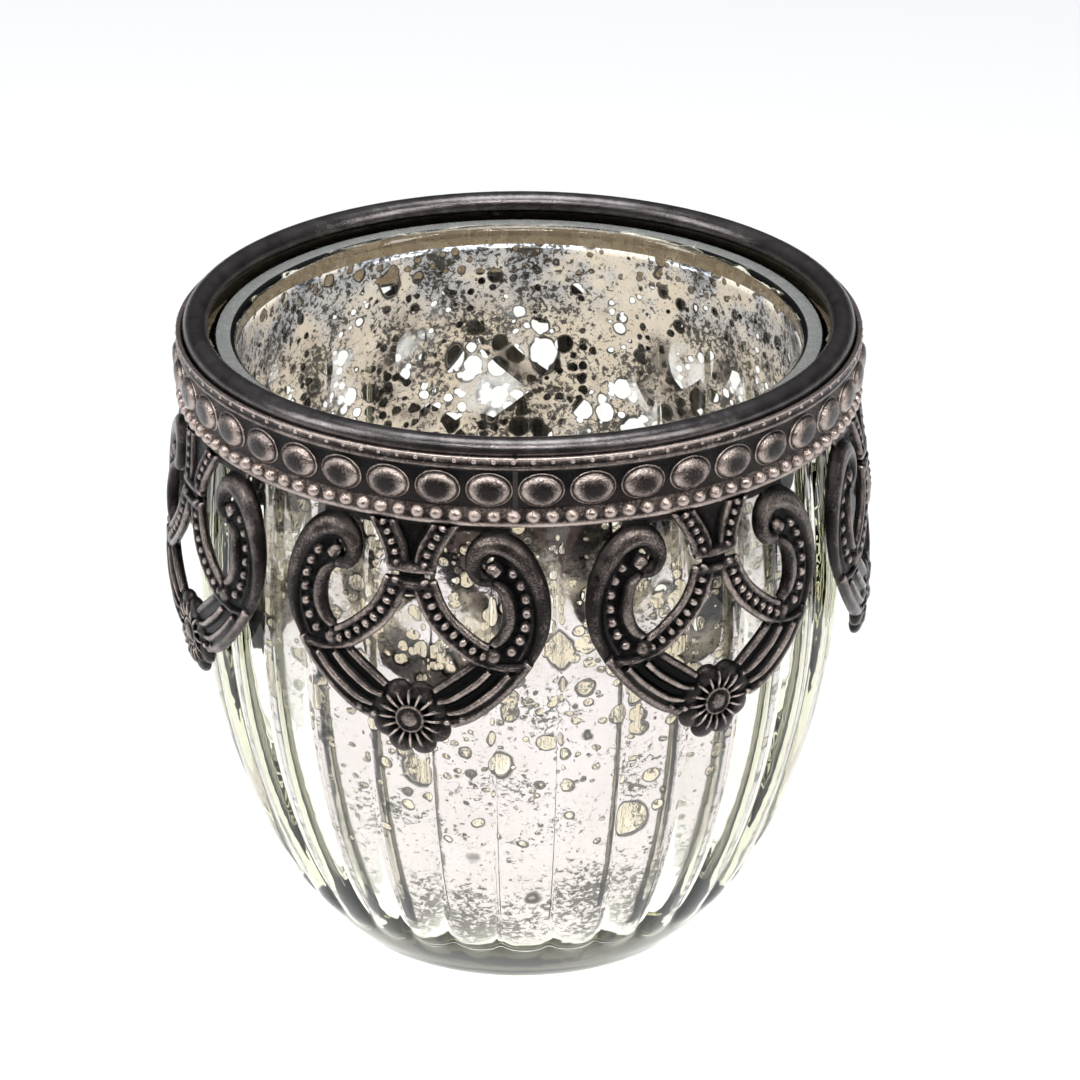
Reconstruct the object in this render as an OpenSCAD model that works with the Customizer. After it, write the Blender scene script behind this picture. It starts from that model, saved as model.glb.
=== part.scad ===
// Tealight holder: a fluted, silvered glass cup with an embossed metal collar.
// Millimetres, +Z up, origin at the centre of the base.
// Angles round the cup start at the middle of pendant 1, which faces -Y,
// and grow towards +X.

/* [Glass] */
// Height of the glass rim above the table
glass_h = 66.2; // [60:0.1:68]
// Radius of the flat base
base_r = 18.3; // [17:0.1:20]
// Radius of the wall at its widest, over the flutes
belly_r = 33.9; // [33:0.1:34]
// Height of the widest place
belly_z = 43.2; // [38:0.1:48]
// Radius of the rim outside
lip_r = 32.6; // [32:0.1:32.6]
// Radius of the rim inside
mouth_r = 29.6; // [28:0.1:30]
// Thickness of the wall at its widest
wall_t = 3; // [2:0.1:3.2]
// Height of the inner floor
floor_z = 5.5; // [4:0.1:7]
// Radius of the flat inner floor
floor_r = 19.7; // [19:0.1:21]
// Number of flutes round the cup
flutes = 30; // [12:1:40]
// Depth of the groove between two flutes
groove_d = 0.5; // [0.2:0.1:0.8]
// Height at which the silvering ends
silver_top = 64.4; // [50:0.2:65]
// Thickness of the silvering
silver_t = 0.15; // [0.1:0.05:0.3]

/* [Rim ring] */
// Radius to the centre of the bead
bead_ring_r = 33.95; // [33.5:0.05:34.5]
// Radius of the bead itself
bead_r = 1.3; // [1:0.05:1.5]
// Height of the bead's centre
bead_z = 67.2; // [66:0.1:68]
// Thickness of the skirt
skirt_t = 0.6; // [0.4:0.1:0.7]

/* [Collar band] */
// Height of the band's lower edge
band_z = 59.1; // [58:0.1:60]
// Height of the band
band_h = 7.9; // [7:0.1:8]
// Thickness of the band
band_t = 0.5; // [0.4:0.1:0.7]
// How far the upper edge stands out from the skirt
band_lean = 0.75; // [0.7:0.05:1]
// Number of oval bosses
bosses = 42; // [28:7:56]
// Height of a boss above the band
boss_h = 0.7; // [0.4:0.1:0.9]
// Width of a boss
boss_w = 3.8; // [3:0.1:4.5]
// Radius of the pearl row's rib
pearl_r = 0.65; // [0.4:0.05:0.8]

/* [Pendants] */
// Greatest radius of the pendants
drop_max_r = 37.5; // [37:0.1:38]
// Height of that greatest radius
drop_max_z = 44.1; // [42:0.1:48]
// Radius of the pendants' upright bulge
drop_bulge_r = 71; // [60:1:90]
// Thickness of a pendant, front to back
drop_t = 1.6; // [1.2:0.1:1.8]

/* [Hidden] */
$fn = 96;
pendants = 7;
pendant_step = 360 / pendants;
boss_step = 360 / bosses;
flute_step = 360 / flutes;
groove_phase = 1.1;
seam_a = 2 * boss_step;
rim_joint_a = 202;
joint_gap = 0.5;
eps = 0.05;

glass_colour = [0.80, 0.83, 0.78, 0.4];
silver_colour = [0.82, 0.80, 0.78];
metal_colour = [0.20, 0.17, 0.16];
solder_colour = [0.30, 0.28, 0.27];
glue_colour = [0.85, 0.83, 0.75];

// A point on a cubic curve, and a run of such points.
function curve_at(p, t) = pow(1 - t, 3) * p[0] + 3 * pow(1 - t, 2) * t * p[1]
    + 3 * (1 - t) * t * t * p[2] + pow(t, 3) * p[3];
function curve(p, n) = [for (i = [0 : n]) curve_at(p, i / n)];

// Half profiles of the glass, from the table up.
outer_low = curve([[base_r, 0], [base_r + 5.6, 3.1],
    [belly_r, belly_z - 23.7], [belly_r, belly_z]], 10);
outer_high = curve([[belly_r, belly_z], [belly_r, belly_z + 7],
    [lip_r + 0.3, glass_h - 8], [lip_r, glass_h - 0.8]], 5);
outer = concat(outer_low, [for (i = [1 : 5]) outer_high[i]]);
inner_low = curve([[floor_r, floor_z], [floor_r + 4, floor_z + 3],
    [belly_r - wall_t, belly_z - 18], [belly_r - wall_t, belly_z]], 10);
inner_high = curve([[belly_r - wall_t, belly_z], [belly_r - wall_t, belly_z + 8],
    [mouth_r + 0.5, glass_h - 8], [mouth_r, glass_h - 0.8]], 5);
inner = concat(inner_low, [for (i = [1 : 5]) inner_high[i]]);

module round_about(a) rotate([0, 0, a]) children();

// A thin upright wedge of air or metal through the collar at angle a.
module collar_slit(a, from_r, to_r, low, high) {
    round_about(a)
        translate([-joint_gap / 2, -to_r, low])
            cube([joint_gap, to_r - from_r, high - low]);
}

// --- Glass ---

module glass_profile() {
    polygon(concat([[0, 0]], outer, [[lip_r - 0.8, glass_h], [mouth_r + 0.8, glass_h]],
        [for (i = [len(inner) - 1 : -1 : 0]) inner[i]], [[0, floor_z]]));
}

// What one groove takes out of the wall: everything outside a smooth line
// that rises from the heel and runs out under the collar.
module groove_profile() {
    low_z = 4.9;
    top_z = band_z + 1;
    line = curve([[base_r + 5, low_z], [belly_r - groove_d, belly_z - 22],
        [belly_r + 0.8 - groove_d, belly_z], [lip_r, top_z]], 6);
    polygon(concat(line, [[belly_r + 3, top_z], [belly_r + 3, low_z]]));
}

module glass_cup() {
    groove_w = 0.6;
    color(glass_colour)
    difference() {
        rotate_extrude() glass_profile();
        for (i = [0 : flutes - 1])
            round_about(groove_phase + i * flute_step)
                rotate([90, 0, -90])
                    translate([0, 0, -groove_w / 2])
                        linear_extrude(groove_w) groove_profile();
    }
}

module silvering() {
    edge_r = lookup(silver_top, [for (p = inner) [p[1], p[0]]]);
    coat = concat([for (p = inner) if (p[1] < silver_top) p], [[edge_r, silver_top]]);
    color(silver_colour)
    rotate_extrude()
        polygon(concat([[0, floor_z]], coat,
            [for (i = [len(coat) - 1 : -1 : 0]) [coat[i][0] - silver_t, coat[i][1] + silver_t / 2]],
            [[0, floor_z + silver_t / 2]]));
}

// --- Rim ---

skirt_r = bead_ring_r + 0.05;
skirt_z = band_z + 0.2;

module ring_solid() {
    rotate_extrude() {
        translate([bead_ring_r, bead_z]) circle(bead_r);
        translate([skirt_r, skirt_z]) square([skirt_t, bead_z - skirt_z]);
    }
}

module rim_ring() {
    color(metal_colour)
    difference() {
        ring_solid();
        collar_slit(rim_joint_a, skirt_r - 3, skirt_r + 3, skirt_z - 1, bead_z + 3);
    }
}

module rim_joint() {
    color(solder_colour)
    intersection() {
        ring_solid();
        collar_slit(rim_joint_a, skirt_r - 3, skirt_r + 3, skirt_z - 1, bead_z + 3);
    }
}

module rim_glue() {
    glue_z = band_z + 1;
    glue_h = 4;
    glue_r = lip_r + 0.45;
    color(glue_colour)
    rotate_extrude()
        translate([glue_r, glue_z]) square([skirt_r - glue_r, glue_h]);
}

// --- Band ---

band_foot_r = skirt_r + skirt_t + eps;
boss_z = bead_z - 3.9;
boss_face_r = band_foot_r + band_t + band_lean * (boss_z - band_z) / band_h;

// The plain sleeve with the rib that carries the pearls.
module band_sleeve() {
    rib_z = bead_z - 6.9;
    rib_r = band_foot_r + band_t;
    rotate_extrude() {
        polygon([[band_foot_r, band_z], [band_foot_r + band_t, band_z],
            [band_foot_r + band_t + band_lean, band_z + band_h],
            [band_foot_r + band_lean, band_z + band_h]]);
        intersection() {
            translate([rib_r, rib_z]) circle(pearl_r);
            translate([rib_r - band_t / 3, rib_z - 1]) square(2);
        }
    }
}

module band_bosses() {
    root = band_t / 2;
    for (i = [0 : bosses - 1])
        round_about((i + 0.5) * boss_step)
            translate([0, -(boss_face_r - root), boss_z])
                rotate([90, 0, 0])
                    cylinder(h = boss_h + root, d = boss_w);
}

module band_slit() {
    collar_slit(seam_a, band_foot_r - 2, band_foot_r + 3, band_z - 1, band_z + band_h + 1);
}

module collar_band() {
    color(metal_colour)
    difference() {
        union() {
            band_sleeve();
            band_bosses();
        }
        band_slit();
    }
}

// Solder that fills the band's seam.
module band_joint() {
    color(solder_colour)
    intersection() {
        band_sleeve();
        band_slit();
    }
}

// --- Pendants ---
// Flat outlines: x runs along the band from the middle of the pendant,
// y runs up from the band's lower edge.

// A bar from p to q with round ends of two sizes.
module taper(p, q, rp, rq) {
    run = q - p;
    reach = norm(run);
    turn = atan2(run[1], run[0]);
    lean = acos((rp - rq) / reach);
    translate(p) circle(rp);
    translate(q) circle(rq);
    translate(p) rotate(turn)
        polygon([[rp * cos(lean), rp * sin(lean)],
            [reach + rq * cos(lean), rq * sin(lean)],
            [reach + rq * cos(lean), -rq * sin(lean)],
            [rp * cos(lean), -rp * sin(lean)]]);
}

// One side of the heart: the scroll and the reeded bar below it.
module half_outline() {
    translate([9.1, -6]) circle(5.6);
    intersection() {
        translate([3.9, -7.5]) circle(10.8);
        translate([0, -16.3]) square([16, 10]);
    }
    taper([9.7, -14.2], [3.2, -19.6], 3.6, 2.8);
    polygon([[0, 0], [11, 0], [9.3, -2], [9.3, -16], [0, -16]]);
}

// The rosette at the tip.
module petals() {
    rosette_y = -21.4;
    petal_n = 8;
    petal_r = 1.4;
    for (i = [0 : petal_n - 1])
        translate([0, rosette_y])
            rotate(i * 360 / petal_n + 90)
                translate([2.8, 0]) circle(petal_r);
    translate([0, rosette_y]) circle(3);
    translate([0, rosette_y - 3.2]) circle(petal_r);
}

// The open space between the V cord, the arm and the scroll.
module teardrop() {
    taper([7.3, -9.5], [6, -8], 2.4, 2.4);
    taper([7.3, -9.5], [4.4, -4.6], 2.4, 1.5);
    taper([4.4, -4.6], [4.7, -2], 1.5, 1.3);
}

// The open space in the middle of the heart.
module kite() {
    top = [0, -8.3];
    side = [6, -14.7];
    foot = [2.6, -17.3];
    translate(top) circle(0.6);
    polygon([top + [-0.6, 0.2], top + [0.6, 0.2], side, foot, [-foot[0], foot[1]],
        [-side[0], side[1]]]);
}

// Stands a flat outline up in front of the cup, through the whole sheet.
module upright() {
    front_r = 41;
    back_r = 31;
    translate([0, -back_r, band_z])
        rotate([90, 0, 0])
            linear_extrude(front_r - back_r) children();
}

// The bulging sheet that the outline is cut from.
module drop_shell() {
    rotate_extrude()
        intersection() {
            difference() {
                translate([drop_max_r - drop_bulge_r, drop_max_z]) circle(drop_bulge_r);
                translate([drop_max_r - drop_bulge_r, drop_max_z]) circle(drop_bulge_r - drop_t);
            }
            translate([30, 30]) square([10, band_z - 30]);
        }
}

module pendant(n) {
    color(metal_colour)
    round_about((n - 1) * pendant_step)
        difference() {
            intersection() {
                union() {
                    upright() half_outline();
                    mirror([1, 0, 0]) upright() half_outline();
                    upright() petals();
                }
                drop_shell();
            }
            upright() teardrop();
            mirror([1, 0, 0]) upright() teardrop();
            upright() kite();
        }
}

glass_cup();
silvering();
rim_glue();
rim_ring();
rim_joint();
collar_band();
band_joint();
pendant(1);  // pendant_1
pendant(2);  // pendant_2
pendant(3);  // pendant_3
pendant(4);  // pendant_4
pendant(5);  // pendant_5
pendant(6);  // pendant_6
pendant(7);  // pendant_7
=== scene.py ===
import math

import bmesh
import bpy
import numpy as np
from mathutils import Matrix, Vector, noise


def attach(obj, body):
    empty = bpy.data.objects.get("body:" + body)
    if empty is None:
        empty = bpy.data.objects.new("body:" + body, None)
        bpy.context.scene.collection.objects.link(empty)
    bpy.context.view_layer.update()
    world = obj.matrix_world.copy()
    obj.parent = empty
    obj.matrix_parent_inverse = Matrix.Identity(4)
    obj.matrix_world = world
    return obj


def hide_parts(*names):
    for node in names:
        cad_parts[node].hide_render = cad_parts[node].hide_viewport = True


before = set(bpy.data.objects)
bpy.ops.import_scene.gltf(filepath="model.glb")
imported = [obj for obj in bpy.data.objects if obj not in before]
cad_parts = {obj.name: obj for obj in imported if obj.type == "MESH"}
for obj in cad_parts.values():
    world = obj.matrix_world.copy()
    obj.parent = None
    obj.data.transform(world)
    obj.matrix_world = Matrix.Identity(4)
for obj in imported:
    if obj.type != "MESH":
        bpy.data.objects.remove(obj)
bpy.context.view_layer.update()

mm = 0.001  # pieces are drawn in millimetres and scaled once, when they are finished

# Camera: a long lens from a little above, turned so that the band's seam faces the viewer.
shot = {
    "azimuth": 17.8,
    "elevation": 22.3,
    "distance": 941.7,
    "aimHeight": 67.2,
    "turnRight": 0.0023,
    "turnDown": 0.0242,
    "lens": 300.0,
    "sensor": 36.0,
}


def placeCamera():
    azimuth = math.radians(shot["azimuth"])
    elevation = math.radians(shot["elevation"])
    outward = Vector((
        math.sin(azimuth) * math.cos(elevation),
        -math.cos(azimuth) * math.cos(elevation),
        math.sin(elevation),
    ))
    right = Vector((math.cos(azimuth), math.sin(azimuth), 0))
    up = right.cross(-outward)
    look = -outward + right * shot["turnRight"] - up * shot["turnDown"]
    data = bpy.data.cameras.new("camera")
    data.lens = shot["lens"]
    data.sensor_width = shot["sensor"]
    camera = bpy.data.objects.new("camera", data)
    camera.location = (Vector((0, 0, shot["aimHeight"])) + outward * shot["distance"]) * mm
    camera.rotation_euler = look.to_track_quat("-Z", "Y").to_euler()
    bpy.context.scene.collection.objects.link(camera)
    bpy.context.scene.camera = camera


placeCamera()
print("camera placed")


# A node with its options set and its inputs fed by name, or by n0, n1 ... for a number.
def put(tree, kind, options=None, **feeds):
    node = tree.nodes.new(kind)
    for key, value in (options or {}).items():
        setattr(node, key, value)
    for label, value in feeds.items():
        numbered = label[0] == "n" and label[1:].isdigit()
        feed(tree, node.inputs[int(label[1:]) if numbered else label.replace("_", " ")], value)
    return node


def feed(tree, socket, value):
    if isinstance(value, bpy.types.NodeSocket):
        tree.links.new(value, socket)
    elif isinstance(value, bpy.types.Node):
        tree.links.new(value.outputs[0], socket)
    else:
        socket.default_value = value


def calc(tree, operation, a, b=0.0, c=0.0):
    return put(tree, "ShaderNodeMath", {"operation": operation}, n0=a, n1=b, n2=c).outputs[0]


def softStep(tree, value, low, high, start=0.0, end=1.0):
    return put(tree, "ShaderNodeMapRange", {"interpolation_type": "SMOOTHSTEP"},
               Value=value, From_Min=low, From_Max=high, To_Min=start, To_Max=end).outputs[0]


# Materials.

def newMaterial(name):
    material = bpy.data.materials.new(name)
    material.use_nodes = True
    tree = material.node_tree
    shader = tree.nodes["Principled BSDF"]
    place = put(tree, "ShaderNodeTexCoord").outputs["Object"]
    return material, tree, shader, place


# Noise with a grain given in millimetres.
def grain(tree, place, size, detail=4.0, rough=0.55, warp=0.0, part=0):
    return put(tree, "ShaderNodeTexNoise", Vector=place, Scale=1 / (size * mm), Detail=detail,
               Roughness=rough, Distortion=warp).outputs[part]


def blend(tree, amount, a, b, kind="MIX"):
    node = put(tree, "ShaderNodeMix", {"data_type": "RGBA", "blend_type": kind})
    feed(tree, node.inputs[0], amount)
    feed(tree, node.inputs[6], a)
    feed(tree, node.inputs[7], b)
    return node.outputs[2]


def rgb(r, g, b):
    return (r, g, b, 1.0)


def bumpOf(tree, height, strength, depth, normal=None):
    node = put(tree, "ShaderNodeBump", Strength=strength, Distance=depth * mm, Height=height)
    if normal is not None:
        feed(tree, node.inputs["Normal"], normal)
    return node.outputs[0]


# Darkened brass: black in the hollows, brown on the slopes, rubbed pale on the crests.
def antiqueMetal(name, look):
    material, tree, shader, place = newMaterial(name)
    wear = put(tree, "ShaderNodeAttribute", {"attribute_name": "wear"}).outputs["Fac"]
    cloud = grain(tree, place, 2.4, 5.0)
    speck = grain(tree, place, 0.22, 3.0, 0.7)
    rubbed = calc(tree, "MULTIPLY_ADD", cloud, 0.9, -0.45)
    rubbed = calc(tree, "ADD", rubbed, wear)
    rubbed = calc(tree, "MULTIPLY_ADD", calc(tree, "SUBTRACT", speck, 0.5), look["speckle"], rubbed)
    high = softStep(tree, rubbed, look["rubLow"], look["rubHigh"])
    low = softStep(tree, rubbed, -0.7, 0.1)
    colour = blend(tree, low, rgb(*look["hollow"]), rgb(*look["slope"]))
    colour = blend(tree, high, colour, rgb(*look["crest"]))
    feed(tree, shader.inputs["Base Color"], colour)
    shader.inputs["Metallic"].default_value = look["metallic"]
    rough = softStep(tree, grain(tree, place, 0.6, 4.0), 0.3, 0.75, look["gloss"], look["dull"])
    rough = calc(tree, "MULTIPLY_ADD", high, look["rubRough"], rough)
    feed(tree, shader.inputs["Roughness"], rough)
    pits = softStep(tree, grain(tree, place, 0.16, 4.0, 0.65), 0.35, 0.7)
    wide = bumpOf(tree, grain(tree, place, 1.3, 3.0), 0.5, look["ripple"])
    feed(tree, shader.inputs["Normal"], bumpOf(tree, pits, 0.6, look["pit"], wide))
    return material


def clearGlass(look):
    material, tree, shader, place = newMaterial("pressedGlass")
    shader.inputs["Transmission Weight"].default_value = 1.0
    shader.inputs["IOR"].default_value = 1.5
    smear = grain(tree, place, 7.0, 3.0)
    feed(tree, shader.inputs["Base Color"], blend(tree, smear, rgb(*look["clear"]), rgb(*look["tint"])))
    feed(tree, shader.inputs["Roughness"], softStep(tree, smear, 0.35, 0.8, 0.005, look["rough"]))
    feed(tree, shader.inputs["Normal"], bumpOf(tree, grain(tree, place, 3.5, 2.0), 0.35, look["ripple"]))
    soak = put(tree, "ShaderNodeVolumeAbsorption")
    soak.inputs["Color"].default_value = rgb(*look["soak"])
    soak.inputs["Density"].default_value = look["density"]
    output = tree.nodes["Material Output"]
    tree.links.new(soak.outputs[0], output.inputs["Volume"])
    return material


def silver(look):
    material, tree, shader, place = newMaterial("silvering")
    inside = put(tree, "ShaderNodeAttribute", {"attribute_name": "inside"}).outputs["Fac"]
    height = calc(tree, "MULTIPLY", put(tree, "ShaderNodeSeparateXYZ", Vector=place).outputs[2], 1 / mm)
    wobble = put(tree, "ShaderNodeVectorMath", {"operation": "MULTIPLY_ADD"},
                 n0=grain(tree, place, 2.2, 2.0, part=1), n1=(0.0008,) * 3, n2=place).outputs[0]
    clear = None
    ring = None
    for index, spot in enumerate(look["spots"]):
        cells = put(tree, "ShaderNodeTexVoronoi", Scale=1 / (spot["pitch"] * mm), Randomness=0.85,
                    Vector=put(tree, "ShaderNodeMapping", Vector=wobble, Scale=(1, 1, spot["squash"]),
                               Location=(0.013 * index, 0, 0)).outputs[0])
        chance = put(tree, "ShaderNodeSeparateColor", Color=cells.outputs["Color"])
        size = softStep(tree, chance.outputs[0], spot["rare"], 0.85, -0.05, spot["size"])
        upper = softStep(tree, height, *spot["from"])
        size = calc(tree, "MULTIPLY", size, upper)
        size = calc(tree, "MULTIPLY", size, softStep(tree, height, 47.0, 58.0, 1.0, look["crownSpots"]))
        gap = calc(tree, "SUBTRACT", size, cells.outputs["Distance"])
        hole = softStep(tree, gap, 0.0, 0.03)
        edge = calc(tree, "SUBTRACT", softStep(tree, gap, -0.06, -0.01), hole)
        clear = hole if clear is None else calc(tree, "MAXIMUM", clear, hole)
        ring = edge if ring is None else calc(tree, "MAXIMUM", ring, edge)
    foot = calc(tree, "MULTIPLY", softStep(tree, height, 22.0, 9.0), softStep(tree, height, 6.0, 8.0))
    foot = calc(tree, "MULTIPLY", foot, calc(tree, "MULTIPLY_ADD", inside, -0.9, 1.0))
    mottle = grain(tree, place, 0.55, 6.0, 0.72, 0.6)
    patch = grain(tree, place, 6.5, 3.0)
    tarnish = calc(tree, "ADD", mottle, calc(tree, "MULTIPLY_ADD", patch, 0.5, -0.25))
    tarnish = calc(tree, "MULTIPLY_ADD", foot, 0.14, tarnish)
    tarnish = calc(tree, "MULTIPLY_ADD", inside, look["insideTarnish"], tarnish)
    dark = softStep(tree, tarnish, look["darkLow"], look["darkHigh"])
    pepper = softStep(tree, grain(tree, place, 0.28, 2.0, 0.6), 0.68, 0.74)
    cloud = grain(tree, place, 9.0, 2.0)
    bright = blend(tree, cloud, rgb(*look["bright"]), rgb(*look["warm"]))
    lining = blend(tree, grain(tree, place, 3.0, 4.0), rgb(*look["cream"]), rgb(*look["gold"]))
    # Painted reflection: near the top of the lining, in patches, a bluish-white reflection of the overhead
    # light is painted into the colour, and the lining is less matt there.
    paintedTopReflection = calc(tree, "MULTIPLY", softStep(tree, height, 55.0, 60.0), softStep(tree, patch, 0.35, 0.6))
    lining = blend(tree, paintedTopReflection, lining, rgb(*look["paintedTopReflection"]))
    colour = blend(tree, inside, bright, lining)
    colour = blend(tree, dark, colour, rgb(*look["tarnish"]))
    colour = blend(tree, calc(tree, "MAXIMUM", ring, pepper), colour, rgb(*look["edge"]))
    feed(tree, shader.inputs["Base Color"], colour)
    matt = calc(tree, "MULTIPLY", inside, calc(tree, "MULTIPLY_ADD", paintedTopReflection, -look["crownShine"], 1.0))
    feed(tree, shader.inputs["Metallic"], calc(tree, "MULTIPLY_ADD", matt, -look["insideMatt"], 0.95))
    rough = softStep(tree, mottle, 0.4, 0.75, look["gloss"], look["dull"])
    feed(tree, shader.inputs["Roughness"], calc(tree, "MULTIPLY_ADD", inside, look["insideDull"], rough))
    fleck = softStep(tree, calc(tree, "MULTIPLY_ADD", foot, 0.06, mottle), 0.7, 0.73)
    thin = calc(tree, "MULTIPLY", softStep(tree, height, 38.0, 46.0), softStep(tree, height, 60.0, 53.0))
    thin = calc(tree, "MULTIPLY", thin, softStep(tree, grain(tree, place, 7.0, 4.0), 0.4, 0.62))
    thin = calc(tree, "MULTIPLY", thin, look["thinness"])
    seeThrough = calc(tree, "MAXIMUM", calc(tree, "MAXIMUM", clear, fleck), thin)
    feed(tree, shader.inputs["Alpha"], calc(tree, "SUBTRACT", 1.0, seeThrough))
    ripples = grain(tree, place, 2.2, 3.0)
    feed(tree, shader.inputs["Normal"], bumpOf(tree, ripples, 0.5, look["ripple"]))
    return material


def plainCoat(name, colours, rough, size, depth, clearness=0.0):
    material, tree, shader, place = newMaterial(name)
    mixed = grain(tree, place, size, 4.0)
    feed(tree, shader.inputs["Base Color"], blend(tree, mixed, rgb(*colours[0]), rgb(*colours[1])))
    feed(tree, shader.inputs["Roughness"], softStep(tree, mixed, 0.3, 0.7, rough[0], rough[1]))
    feed(tree, shader.inputs["Normal"], bumpOf(tree, grain(tree, place, size / 3), 0.5, depth))
    shader.inputs["Transmission Weight"].default_value = clearness
    return material


collarMetal = antiqueMetal("antiqueCollar", {
    "hollow": (0.003, 0.003, 0.003),
    "slope": (0.024, 0.020, 0.019),
    "crest": (0.52, 0.435, 0.39),
    "rubLow": 0.32,
    "rubHigh": 1.5,
    "speckle": 1.4,
    "metallic": 0.92,
    "gloss": 0.09,
    "dull": 0.27,
    "rubRough": 0.03,
    "ripple": 0.07,
    "pit": 0.03,
})
rimMetal = antiqueMetal("gunmetalRim", {
    "hollow": (0.004, 0.004, 0.004),
    "slope": (0.012, 0.011, 0.012),
    "crest": (0.22, 0.20, 0.195),
    "rubLow": 0.95,
    "rubHigh": 2.0,
    "speckle": 0.3,
    "metallic": 0.9,
    "gloss": 0.08,
    "dull": 0.2,
    "rubRough": 0.1,
    "ripple": 0.06,
    "pit": 0.012,
})
glassLook = clearGlass({
    "clear": (1.0, 0.998, 0.99),
    "tint": (0.985, 0.985, 0.96),
    "rough": 0.03,
    "ripple": 0.12,
    "soak": (0.86, 0.855, 0.64),
    "density": 65.0,
})
lipLook = plainCoat("groundLip", ((0.66, 0.68, 0.64), (0.82, 0.84, 0.80)), (0.12, 0.35), 1.2, 0.02, 0.72)
lipLook.node_tree.nodes["Principled BSDF"].inputs["IOR"].default_value = 1.5
silverLook = silver({
    "spots": [
        {"pitch": 5.0, "rare": 0.35, "size": 0.36, "squash": 0.75, "from": (6.0, 20.0)},
        {"pitch": 2.3, "rare": 0.0, "size": 0.5, "squash": 0.9, "from": (2.0, 46.0)},
        {"pitch": 1.15, "rare": 0.0, "size": 0.52, "squash": 1.0, "from": (6.0, 50.0)},
    ],
    "bright": (0.84, 0.79, 0.86),
    "warm": (0.70, 0.64, 0.69),
    "cream": (0.99, 0.95, 0.87),
    "gold": (0.84, 0.72, 0.52),
    "tarnish": (0.10, 0.095, 0.085),
    "edge": (0.05, 0.045, 0.04),
    "darkLow": 0.575,
    "darkHigh": 0.65,
    "gloss": 0.05,
    "dull": 0.22,
    "insideDull": 0.22,
    "insideMatt": 0.85,
    "insideTarnish": 0.085,
    # colour of the painted bluish-white reflection of the overhead light at the top of the lining
    "paintedTopReflection": (0.80, 0.85, 0.95),
    "crownSpots": 0.66,
    "crownShine": 0.7,
    "thinness": 0.78,
    "ripple": 0.10,
})
solderLook = plainCoat("darkSolder", ((0.02, 0.018, 0.018), (0.07, 0.06, 0.055)), (0.3, 0.5), 0.8, 0.05)
solderLook.node_tree.nodes["Principled BSDF"].inputs["Metallic"].default_value = 0.85
glueLook = plainCoat("amberGlue", ((0.16, 0.12, 0.08), (0.34, 0.27, 0.18)), (0.2, 0.35), 1.5, 0.05, 0.3)
print("materials made")


# Geometry node trees.

def newTree(name, inputs):
    tree = bpy.data.node_groups.new(name, "GeometryNodeTree")
    sockets = {"Geometry": ("Geometry", None), **inputs, "Material": ("Material", None)}
    for label, (kind, value) in sockets.items():
        socket = tree.interface.new_socket(label, in_out="INPUT", socket_type="NodeSocket" + kind)
        if value is not None:
            socket.default_value = value
    tree.interface.new_socket("Geometry", in_out="OUTPUT", socket_type="NodeSocketGeometry")
    return tree, tree.nodes.new("NodeGroupInput").outputs


def endTree(tree, given, geometry):
    real = put(tree, "GeometryNodeRealizeInstances", Geometry=geometry)
    dressed = put(tree, "GeometryNodeSetMaterial", Geometry=real, Material=given["Material"])
    feed(tree, tree.nodes.new("NodeGroupOutput").inputs[0], dressed)
    return tree


# The plain mesh that a tree or another modifier makes out of a mesh.
def grown(mesh, tree=None, values=None, modifiers=()):
    holder = bpy.data.objects.new("holder", mesh)
    bpy.context.scene.collection.objects.link(holder)
    if tree is not None:
        modifier = holder.modifiers.new("grow", "NODES")
        modifier.node_group = tree
        for item in tree.interface.items_tree:
            if item.in_out == "INPUT" and item.name in values:
                modifier[item.identifier] = values[item.name]
    for kind, options in modifiers:
        modifier = holder.modifiers.new(kind.lower(), kind)
        for key, value in options.items():
            setattr(modifier, key, value)
    graph = bpy.context.evaluated_depsgraph_get()
    made = bpy.data.meshes.new_from_object(holder.evaluated_get(graph), depsgraph=graph)
    holder.modifiers.clear()
    bpy.data.objects.remove(holder)
    return made


# Half-round line along a path, with its top and bottom cut level.
def lineTree():
    tree, given = newTree("reliefLine", {
        "Sides": ("Int", 12),
        "Steepness": ("Float", 1.0),
        "Lift": ("Float", 0.0),
        "Low": ("Float", -0.35),
        "High": ("Float", 5.0),
    })
    width = put(tree, "GeometryNodeInputNamedAttribute", {"data_type": "FLOAT"}, Name="width")
    path = put(tree, "GeometryNodeMeshToCurve", Mesh=given["Geometry"])
    around = put(tree, "GeometryNodeCurvePrimitiveCircle", Resolution=given["Sides"], Radius=1.0)
    tube = put(tree, "GeometryNodeCurveToMesh", Curve=path, Profile_Curve=around, Scale=width,
               Fill_Caps=True)
    spot = put(tree, "ShaderNodeSeparateXYZ", Vector=put(tree, "GeometryNodeInputPosition"))
    level = calc(tree, "MULTIPLY_ADD", spot.outputs[2], given["Steepness"], given["Lift"])
    level = put(tree, "ShaderNodeClamp", Value=level, Min=given["Low"], Max=given["High"])
    place = put(tree, "ShaderNodeCombineXYZ", X=spot.outputs[0], Y=spot.outputs[1], Z=level)
    return endTree(tree, given, put(tree, "GeometryNodeSetPosition", Geometry=tube, Position=place))


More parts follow.
